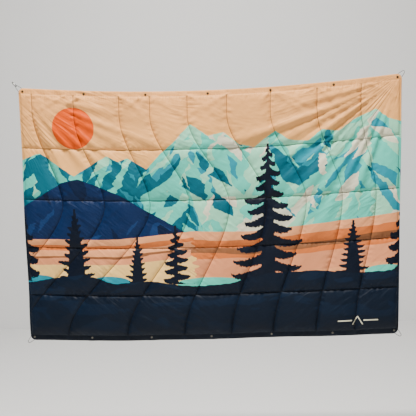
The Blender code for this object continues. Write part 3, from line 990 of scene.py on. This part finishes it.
class Graph:
    """Short names for shader nodes."""

    def __init__(self, tree):
        self.tree = tree

    def node(self, kind, inputs=None, **settings):
        n = self.tree.nodes.new("ShaderNode" + kind)
        for key, value in settings.items():
            setattr(n, key, value)
        for key, value in (inputs or {}).items():
            self.put(n.inputs[key], value)
        return n

    def out(self, n, key=0):
        return Value(self, n.outputs[key])

    def put(self, socket, value):
        if isinstance(value, Value):
            self.tree.links.new(value.socket, socket)
        else:
            socket.default_value = value

    def math(self, op, *parts, clamp=False):
        return self.out(self.node("Math", dict(enumerate(parts)), operation=op, use_clamp=clamp))

    def fade(self, value, slope, start=0.0):
        """A straight rise, kept between 0 and 1."""
        return self.math("MULTIPLY_ADD", value, slope, start, clamp=True)

    def at_least(self, value, least):
        return self.math("MAXIMUM", value, least)

    def root(self, value):
        return self.math("SQRT", value)

    def mix(self, factor, a, b):
        return self.out(self.node("Mix", {0: factor, 6: a, 7: b}, data_type="RGBA"), 2)

    def join(self, x, y, z=0.0):
        return self.out(self.node("CombineXYZ", {0: x, 1: y, 2: z}))

    def split(self, vector):
        n = self.node("SeparateXYZ", {0: vector})
        return [self.out(n, k) for k in range(3)]

    def noise(self, vector, scale, detail=2.0, roughness=0.5, distortion=0.0):
        return self.out(self.node("TexNoise", {"Vector": vector, "Scale": scale, "Detail": detail,
                                               "Roughness": roughness, "Distortion": distortion}),
                        "Fac")

    def print_uv(self):
        return self.out(self.node("UVMap", uv_map="print"))

    def bump(self, height, strength, distance, under=None):
        n = self.node("Bump", {"Height": height, "Strength": strength, "Distance": distance})
        if under:
            self.put(n.inputs["Normal"], under)
        return self.out(n)

    def curve(self, x, points):
        """A value read off a line through (x, y) points, both from 0 to 1."""
        n = self.node("FloatCurve", {"Value": x})
        line = n.mapping.curves[0]
        line.points[0].location = points[0]
        line.points[1].location = points[-1]
        for p in points[1:-1]:
            line.points.new(*p)
        for p in line.points:
            p.handle_type = "VECTOR"
        n.mapping.update()
        return self.out(n)

    def steps(self, x, stops):
        """A colour for each stretch of x, without blending. The last colour holds to the end."""
        n = self.node("ValToRGB", {0: x})
        n.color_ramp.interpolation = "CONSTANT"
        elements = n.color_ramp.elements
        elements[0].position, elements[0].color = stops[0]
        elements[1].position, elements[1].color = 1.0, stops[-1][1]
        for position, colour in stops[1:]:
            elements.new(position).color = colour
        return self.out(n)


def srgb(r, g, b):
    out = []
    for c in (r, g, b):
        c = c / 255
        out.append(c / 12.92 if c <= 0.04045 else ((c + 0.055) / 1.055) ** 2.4)
    return (*out, 1.0)


def ink(r, g, b):
    """A print colour, deepened for the soft light's haze."""
    c = np.array(srgb(r, g, b)[:3])
    grey = c @ (0.2126, 0.7152, 0.0722)
    c = np.clip(grey + (c - grey) * 1.30, 0.0008, 1.0) ** 1.10
    return (*[float(v) for v in c], 1.0)


# ---------------------------------------------------------------- the print
SKY = ink(230, 178, 132)
SKY_LOW = ink(234, 188, 138)
SUN = ink(212, 104, 62)
MINT = ink(122, 200, 184)
PALE = ink(166, 214, 190)
CREAM = ink(216, 214, 196)
TEAL = ink(72, 142, 156)
DEEP = ink(36, 98, 112)
NAVY = ink(24, 42, 74)
NAVY_LIT = ink(36, 58, 94)
NAVY_DARK = ink(17, 31, 56)
ABYSS = ink(11, 20, 31)
GROUND = ink(16, 27, 42)
GROUND_LIT = ink(20, 34, 52)
TREE = ink(14, 22, 36)
ORANGE = ink(198, 126, 90)
BROWN = ink(134, 96, 74)
PINK = ink(214, 156, 126)
YELLOW = ink(236, 204, 152)
PEACH = ink(224, 168, 134)
BLACK = (0.0, 0.0, 0.0, 1.0)

# Outlines as fractions of the width and of the height, from the top left.
SUN_CENTRE = (0.143, 0.152)
SUN_RADIUS = 0.113
RIDGE = ((0.0, 0.285), (0.05, 0.255), (0.09, 0.295), (0.14, 0.345), (0.19, 0.295), (0.23, 0.262),
         (0.26, 0.285), (0.285, 0.268), (0.335, 0.315), (0.375, 0.25), (0.41, 0.205),
         (0.452, 0.135), (0.50, 0.185), (0.54, 0.172), (0.58, 0.222), (0.62, 0.235),
         (0.675, 0.175), (0.71, 0.215), (0.76, 0.225), (0.795, 0.185), (0.84, 0.195),
         (0.88, 0.155), (0.935, 0.125), (0.965, 0.165), (1.0, 0.185))
NEAR_EDGE = ((0.0, 0.0), (0.31, 0.0), (0.345, 0.34), (0.40, 0.42), (0.46, 0.47), (0.50, 0.62),
             (1.0, 1.0))
HILL_TOP = ((0.0, 0.470), (0.05, 0.425), (0.105, 0.372), (0.15, 0.355), (0.20, 0.382),
            (0.26, 0.418), (0.33, 0.480), (0.38, 0.520), (0.43, 0.565), (1.0, 0.95))
HILL_FOOT = ((0.0, 0.598), (0.25, 0.595), (0.45, 0.565), (0.60, 0.572), (0.78, 0.555),
             (1.0, 0.532))
GROUND_TOP = ((0.0, 0.772), (0.08, 0.750), (0.16, 0.735), (0.24, 0.772), (0.33, 0.762),
              (0.46, 0.785), (0.55, 0.778), (0.65, 0.742), (0.78, 0.738), (0.89, 0.757),
              (1.0, 0.752))
ROCK = ((0.0, DEEP), (0.09, TEAL), (0.20, MINT), (0.54, PALE), (0.86, CREAM))
NEAR_ROCK = ((0.0, DEEP), (0.34, TEAL), (0.46, MINT), (0.86, PALE))
DUSK_LEFT = ((0.0, PEACH), (0.10, ORANGE), (0.17, PEACH), (0.27, BROWN), (0.31, PINK),
             (0.40, YELLOW))
DUSK_RIGHT = ((0.0, PEACH), (0.14, ORANGE), (0.27, BROWN), (0.36, ORANGE), (0.44, PINK),
              (0.72, PEACH))
PONDS = ((0.03, 0.762, 0.05, TEAL), (0.23, 0.765, 0.055, TEAL), (0.50, 0.772, 0.09, MINT),
         (0.96, 0.752, 0.05, MINT))
POND_HALF = 0.022
PINE_INPUTS = ("X", "Y", "Centre", "Top", "Foot", "Spread", "Tiers", "Core", "Droop", "Seed")
PINES = ((0.000, 0.500, 0.765, 0.056, 6.0, 0.20, 0.44, 1.0),
         (0.138, 0.475, 0.790, 0.060, 12.0, 0.42, -0.30, 2.0),
         (0.305, 0.585, 0.790, 0.038, 11.0, 0.40, -0.22, 3.0),
         (0.408, 0.540, 0.775, 0.052, 8.0, 0.12, 0.24, 4.0),
         (0.655, 0.225, 0.775, 0.112, 12.5, 0.17, 0.50, 5.0),
         (0.878, 0.550, 0.780, 0.048, 12.0, 0.40, 0.26, 6.0),
         (1.003, 0.515, 0.775, 0.052, 6.0, 0.16, 0.40, 7.0))
BARS = ((0.838, 0.876), (0.906, 0.944))
BAR_TOP, BAR_FOOT = 0.9385, 0.9430
MARK_CENTRE = 0.891
MARK_TOP, MARK_FOOT = 0.925, 0.957


def pine_group():
    """A pine's silhouette: tiers of drooping branches on a core, 1 inside and 0 outside."""
    tree = bpy.data.node_groups.new("pine", "ShaderNodeTree")
    for name in PINE_INPUTS:
        tree.interface.new_socket(name, in_out="INPUT", socket_type="NodeSocketFloat")
    tree.interface.new_socket("Mask", in_out="OUTPUT", socket_type="NodeSocketFloat")
    g = Graph(tree)
    given = tree.nodes.new("NodeGroupInput")
    x, y, centre, top, foot, spread, tiers, core, droop, seed = (
        g.out(given, name) for name in PINE_INPUTS)
    offset = x - centre
    rough = g.noise(g.join(x * 160.0, y * 110.0, seed), 1.0, 2.0, 0.6)
    height = (y - top) / (foot - top)
    spread = spread * g.math("SINE", g.at_least(height, 0.001) * 1.55)
    r = abs(offset) / g.at_least(spread, 0.0005)
    bow = droop * (r * 1.5 - r * r)
    side = (offset > 0.0) * 0.43
    level = tiers * g.math("POWER", g.at_least(height, 0.0001), 0.82) - bow * 3.0 + side
    level = level + (rough - 0.5) * 0.42
    tier = g.math("FLOOR", level)
    chance = g.math("FRACT", g.math("SINE", tier * 12.99 + side * 17.0 + seed * 7.3) * 437.58)
    length = chance * 0.42 + 0.62
    thick = g.root(g.at_least(1.0 - r / length, 0.0)) * 0.92
    branch = g.math("FRACT", level) < thick
    heart = r < core + (rough - 0.5) * 0.12
    trunk = abs(offset) < 0.0028
    mask = (branch | heart | trunk) & (height > 0.0) & (height < 1.0)
    tree.links.new(mask.socket, tree.nodes.new("NodeGroupOutput").inputs["Mask"])
    return tree


PINE = pine_group()


def rock_facets(g, x, y, metric):
    """Two sets of slanting cells, each with a random value per cell."""
    warp = (g.noise(metric, 7.0, 3.0, 0.6) - 0.5) * 0.085
    warp = warp + (g.noise(metric, 34.0, 2.0, 0.6) - 0.5) * 0.020
    for slope, wide, tall, seed in ((0.75, 16.0, 6.5, 1.0), (-0.65, 15.0, 6.0, 6.0)):
        across = x * WIDTH + y * (HEIGHT * slope) + warp
        down = y * HEIGHT - x * (WIDTH * slope * 0.35)
        cell = g.node("TexVoronoi", {"Vector": g.join(across * wide, down * tall, seed),
                                     "Scale": 1.0, "Randomness": 1.0}, feature="F1")
        yield g.out(g.node("SeparateColor", {0: g.out(cell, "Color")}))


def small_mark(g, x, y):
    """Two bars and a chevron, low on the right."""
    bars = [(x > start) & (x < end) & (y > BAR_TOP) & (y < BAR_FOOT) for start, end in BARS]
    peak = (MARK_FOOT - y) * 0.42
    away = abs(x - MARK_CENTRE)
    tent = (y > MARK_TOP) & (y < MARK_FOOT) & (away > 0.0115 - peak) & (away < 0.0145 - peak)
    return tent | bars[0] | bars[1]


def printed(g):
    """The landscape, as a colour. x runs from 0 at the left edge, y from 0 at the top edge."""
    x, up, _ = g.split(g.print_uv())
    y = 1.0 - up
    metric = g.join(x * WIDTH, y * HEIGHT)
    jag = (g.noise(metric, 26.0, 4.0, 0.6) - 0.5) * 0.020
    soft = (g.noise(metric, 9.0, 2.0, 0.5) - 0.5) * 0.02

    colour = g.mix(g.fade(y, 2.2), SKY, SKY_LOW)
    dx = (x - SUN_CENTRE[0]) * WIDTH
    dy = (y - SUN_CENTRE[1]) * HEIGHT
    colour = g.mix(g.root(dx * dx + dy * dy) < SUN_RADIUS, colour, SUN)

    depth = y - (g.curve(x, RIDGE) + jag * 0.5)
    swerve = (g.noise(g.join(x * 3.0, y * 9.0, 5.0), 1.0, 3.0, 0.6) - 0.5) * 0.13
    swept_x = x + swerve + depth * 0.10
    falling = g.curve(swept_x + 0.020, RIDGE) - g.curve(swept_x - 0.020, RIDGE) > 0.0
    cells = list(rock_facets(g, x, y, metric))
    pick = cells[1] * falling + cells[0] * (1.0 - falling)
    snow = (1.0 - g.fade(depth, 9.0)) * 0.20
    low_snow = ((y > 0.43) & (x > 0.47)) * 0.08
    pick = pick + snow + low_snow - falling * 0.12
    near_rock = g.steps(pick + 0.02 - falling * 0.30, NEAR_ROCK)
    rock = g.mix(y > g.curve(x, NEAR_EDGE) + jag, g.steps(pick, ROCK), near_rock)
    colour = g.mix(depth > 0.0, colour, rock)

    hill_top = g.curve(x, HILL_TOP) + jag * 0.35
    hill = g.mix((cells[0] > 0.74) & (y - hill_top > soft + 0.02), NAVY, NAVY_LIT)
    hill = g.mix(cells[1] < 0.10, hill, NAVY_DARK)
    colour = g.mix(y > hill_top, colour, hill)

    foot = g.curve(x, HILL_FOOT) + soft * 0.25
    wavy = (g.noise(g.join(x * 5.0, y * 30.0), 1.0, 2.0) - 0.5) * 0.028
    band = (y - foot + wavy) * 4.0
    dusk = g.mix(x + wavy * 3.0 > 0.46, g.steps(band, DUSK_LEFT), g.steps(band, DUSK_RIGHT))
    colour = g.mix(y > foot, colour, dusk)

    for centre, level, half, water in PONDS:
        ex = (x - centre) / half
        ey = (y - level) / POND_HALF
        colour = g.mix(ex * ex + ey * ey < 1.0, colour, water)

    masks = []
    for values in PINES:
        n = g.node("Group", node_tree=PINE)
        for socket, value in zip(n.inputs, (x, y, *values)):
            g.put(socket, value)
        masks.append(g.out(n))
    colour = g.mix(reduce(or_, masks), colour, TREE)

    broad = g.noise(g.join(x * 8.0, y * 16.0, 7.0), 1.0, 3.0, 0.5, 0.6)
    soil = g.mix(g.fade(y - 0.80, 4.0), g.mix(broad > 0.55, GROUND, GROUND_LIT), ABYSS)
    colour = g.mix(y > g.curve(x, GROUND_TOP) + jag * 0.55, colour, soil)
    return g.mix(small_mark(g, x, y), colour, CREAM), metric


# ---------------------------------------------------------------- materials
THREAD_PITCH = 0.0011
FAN_POINTS = ((-0.30, -0.22, 24.0, 5.0, 1.0), (WIDTH + 0.01, -0.01, 13.0, 8.0, -1.0))


def weave(g, shader, metric):
    """Fine plain weave, small creases that lead to the hanging corners, and an uneven gloss."""
    sx, sy, _ = g.split(metric)
    warp = g.math("SINE", sx * (2 * math.pi / THREAD_PITCH))
    weft = g.math("SINE", sy * (2 * math.pi / THREAD_PITCH))
    drift = (g.noise(metric, 3.5, 2.0) - 0.5) * 0.10
    pulls = []
    for slope, seed in ((0.75, 0.0), (-0.70, 3.0)):
        across = sy - sx * slope + drift
        along = sx + sy * slope
        pulls.append(abs(g.noise(g.join(across * 17.0, along * 3.6, seed), 1.0, 2.5) - 0.5))
    rays = []
    for from_x, from_y, count, seed, way in FAN_POINTS:
        dx = sx - from_x
        dy = sy - from_y
        away = g.root(dx * dx + dy * dy)
        angle = g.math("ARCTAN2", dy, dx * way) + drift * 0.9
        rays.append(abs(g.noise(g.join(angle * count, away * 2.6, seed), 1.0, 2.0) - 0.5) * 0.95)
    right = g.fade(sx, 1.6, -1.55)
    low = g.fade(sy, 2.6, -0.75)
    high_crease = rays[0] * (1.0 - right) + rays[1] * right
    low_crease = pulls[0] * (1.0 - right) + pulls[1] * right
    crease = high_crease * (1.0 - low) + low_crease * low
    crease = crease * (g.fade(g.noise(metric, 3.8, 2.0), 4.5, -1.75) + 0.22)
    gather = abs(g.noise(g.join(sx * 70.0, sy * 14.0, 2.0), 1.0, 2.0) - 0.5)
    crease = crease + gather * g.fade(abs(sy - 0.034), -28.0, 1.0) * 0.9
    fine = g.noise(metric, 38.0, 2.0, 0.5, 0.3)
    creased = g.bump(fine * 0.08 - crease, 0.8, 0.015)
    g.put(shader["Normal"], g.bump(warp * weft * 0.5, 0.25, 0.0006, creased))
    g.put(shader["Roughness"], g.noise(metric, 5.0, 3.0) * 0.16 + 0.40)


def material(name, inputs=None):
    """A new material, with its shader's inputs and its graph."""
    mat = bpy.data.materials.new(name)
    mat.use_nodes = True
    shader = mat.node_tree.nodes["Principled BSDF"].inputs
    for key, value in {"Roughness": 0.6, **(inputs or {})}.items():
        shader[key].default_value = value
    return mat, shader, Graph(mat.node_tree)


def tint(g, shader, amount, dark, light):
    g.put(shader["Base Color"], g.mix(amount, srgb(*dark), srgb(*light)))


def cloth_metric(g):
    """Position on the cloth in metres, from the bottom left."""
    x, up, _ = g.split(g.print_uv())
    return g.join(x * WIDTH, up * HEIGHT)


def printed_shell():
    mat, shader, g = material("printed_shell", {"Sheen Weight": 0.02, "Sheen Roughness": 0.4,
                                                "Specular IOR Level": 0.14})
    colour, metric = printed(g)
    shaded = g.mix(g.fade(g.noise(metric, 3.0, 3.0) - 0.42, 0.35), colour, BLACK)
    # Painted shade in the seam creases: the seam attribute darkens the colour towards black.
    seam = g.out(g.node("Attribute", attribute_name="seam"), "Fac")
    g.put(shader["Base Color"], g.mix(seam * 0.85, shaded, BLACK))
    weave(g, shader, metric)
    return mat


def quilt_thread_material():
    mat, shader, g = material("quilt_thread", {"Roughness": 0.55})
    colour, metric = printed(g)
    # The thread takes the print's colour, darkened towards brown: partly the thread's own colour,
    # partly painted shade of the seam crease.
    g.put(shader["Base Color"], g.mix(0.65, colour, srgb(52, 40, 40)))
    twist = g.out(g.node("TexWave", {"Scale": 900.0, "Vector": metric}), "Fac")
    g.put(shader["Normal"], g.bump(twist, 0.4, 0.0002))
    return mat


def lining():
    mat, shader, g = material("lining", {"Sheen Weight": 0.15})
    metric = cloth_metric(g)
    tint(g, shader, g.noise(metric, 4.0, 3.0), (24, 34, 50), (36, 48, 66))
    weave(g, shader, metric)
    return mat


def batting():
    mat, shader, g = material("insulation_fibre", {"Roughness": 0.95, "Sheen Weight": 0.4})
    metric = cloth_metric(g)
    tint(g, shader, g.noise(metric, 60.0, 6.0, 0.7), (206, 206, 202), (238, 238, 234))
    g.put(shader["Normal"], g.bump(g.noise(metric, 220.0, 5.0, 0.7), 1.0, 0.002))
    return mat


def hem_tape():
    mat, shader, g = material("hem_tape", {"Roughness": 0.8})
    ribs = g.out(g.node("TexWave", {"Scale": 300.0, "Vector": cloth_metric(g)}), "Fac")
    tint(g, shader, ribs, (30, 34, 42), (46, 50, 60))
    return mat


def metal(name, dark, light, roughness):
    mat, shader, g = material(name, {"Metallic": 1.0})
    where = g.out(g.node("TexCoord"), "Object")
    worn = g.noise(where, 420.0, 4.0, 0.6)
    tint(g, shader, worn, dark, light)
    g.put(shader["Roughness"], worn * 0.18 + roughness)
    g.put(shader["Normal"], g.bump(g.noise(where, 1800.0, 3.0), 0.15, 0.0002))
    return mat


def braided_cord():
    mat, shader, g = material("cord", {"Roughness": 0.7, "Sheen Weight": 0.2})
    spots = g.node("Mapping", {"Scale": (700.0, 4.0, 1.0), "Vector": g.print_uv()})
    cell = g.out(g.node("TexChecker", {"Scale": 1.0, "Vector": g.out(spots)}), "Fac")
    tint(g, shader, cell, (14, 14, 18), (40, 38, 44))
    g.put(shader["Normal"], g.bump(cell, 1.0, 0.0003))
    return mat


def give(mat, slot_name, *pieces):
    for obj in pieces:
        obj.data.materials.append(mat)


give(printed_shell(), "printed_shell", face)
give(quilt_thread_material(), "printed_shell", quilt_thread, hem_thread)
give(lining(), "lining", back)
give(batting(), "insulation", filling)
give(hem_tape(), "hem_tape", *tapes)
for kind, dark, light, roughness in (("socket", (26, 22, 20), (62, 52, 46), 0.34),
                                     ("stud", (70, 68, 64), (128, 124, 116), 0.28),
                                     ("cap", (52, 46, 44), (92, 84, 78), 0.30)):
    name = kind + "_metal"
    give(metal(name, dark, light, roughness), name, *hardware[kind])
give(metal("clip_metal", (16, 14, 14), (40, 36, 34), 0.42), "clip_metal", clip)
give(metal("gate_wire", (170, 170, 168), (226, 224, 220), 0.16), "gate_wire", gate)
give(braided_cord(), "cord", *loops)

# ---------------------------------------------------------------- bodies, hidden CAD parts and cloth thickness
for obj in (face, back, filling, quilt_thread, hem_thread):
    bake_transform(obj)
for piece, node in ((face, "face_fabric"), (back, "back_fabric"), (filling, "insulation")):
    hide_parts(node + "_upper", node + "_lower")
for tape, side, body in zip(tapes, ("top", "bottom"), ("blanket_upper", "blanket_lower")):
    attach(tape, body)
    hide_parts(side + "_hem_tape")
for obj in (face, back):
    solid = obj.modifiers.new("cloth thickness", "SOLIDIFY")
    solid.thickness = 0.0004
    solid.offset = -1.0

# ---------------------------------------------------------------- stage, light and camera
FLOOR_Z = -2.1
CEILING_Z = 7
ROOM = ((-9, -7), (-9, 4), (9, 4), (9, -7))
PALE_TONE = 0.80
WALL_TONE = 0.42


def stage_plane(name, tone, corners):
    obj = new_object(name, corners, [(0, 1, 2, 3)], smooth_shade=False)
    mat, _, _ = material(name, {"Base Color": (tone, tone * 1.01, tone * 1.02, 1),
                                "Roughness": 0.9})
    obj.data.materials.append(mat)
    obj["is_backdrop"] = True


stage_plane("floor", PALE_TONE, [(*corner, FLOOR_Z) for corner in ROOM[::-1]])
for a, b, name, tone in zip(ROOM, ROOM[1:] + ROOM[:1],
                            ("left_wall", "backdrop", "right_wall", "rear_wall"),
                            (WALL_TONE, PALE_TONE, WALL_TONE, WALL_TONE)):
    stage_plane(name, tone, [(*a, FLOOR_Z), (*b, FLOOR_Z), (*b, CEILING_Z), (*a, CEILING_Z)])


def area_light(name, where, target, power, size, colour):
    light = bpy.data.lights.new(name, "AREA")
    light.energy = power
    light.size = size
    light.color = colour
    obj = bpy.data.objects.new(name, light)
    obj.location = where
    obj.rotation_euler = (Vector(target) - Vector(where)).to_track_quat("-Z", "Y").to_euler()
    bpy.context.scene.collection.objects.link(obj)


area_light("key", (-0.35, -1.75, 4.3), (0, 0, -0.7), 780, 0.6, (1.0, 0.96, 0.90))
area_light("fill", (0.25, -3.6, -0.5), (0.05, 0, -0.65), 16, 1.2, (1.0, 0.98, 0.96))
world = bpy.data.worlds.new("studio")
bpy.context.scene.world = world
world.use_nodes = True
ambient = world.node_tree.nodes["Background"].inputs
ambient["Color"].default_value = (0.80, 0.83, 0.86, 1)
ambient["Strength"].default_value = 0.07

SWING = math.radians(2.45)
ROLL = math.radians(-1.68)
DISTANCE = 3.055
LOOK_AT = Vector((-0.016, 0.0, -0.672))
camera = bpy.data.objects.new("camera", bpy.data.cameras.new("camera"))
camera.data.lens = 50
camera.data.sensor_width = 36
camera.location = LOOK_AT + DISTANCE * Vector((math.sin(SWING), -math.cos(SWING), 0.0))
camera.rotation_euler = (Matrix.Rotation(SWING, 3, "Z") @ Matrix.Rotation(math.radians(90), 3, "X")
                         @ Matrix.Rotation(ROLL, 3, "Z")).to_euler()
bpy.context.scene.collection.objects.link(camera)
bpy.context.scene.camera = camera

bpy.context.view_layer.update()
low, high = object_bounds()
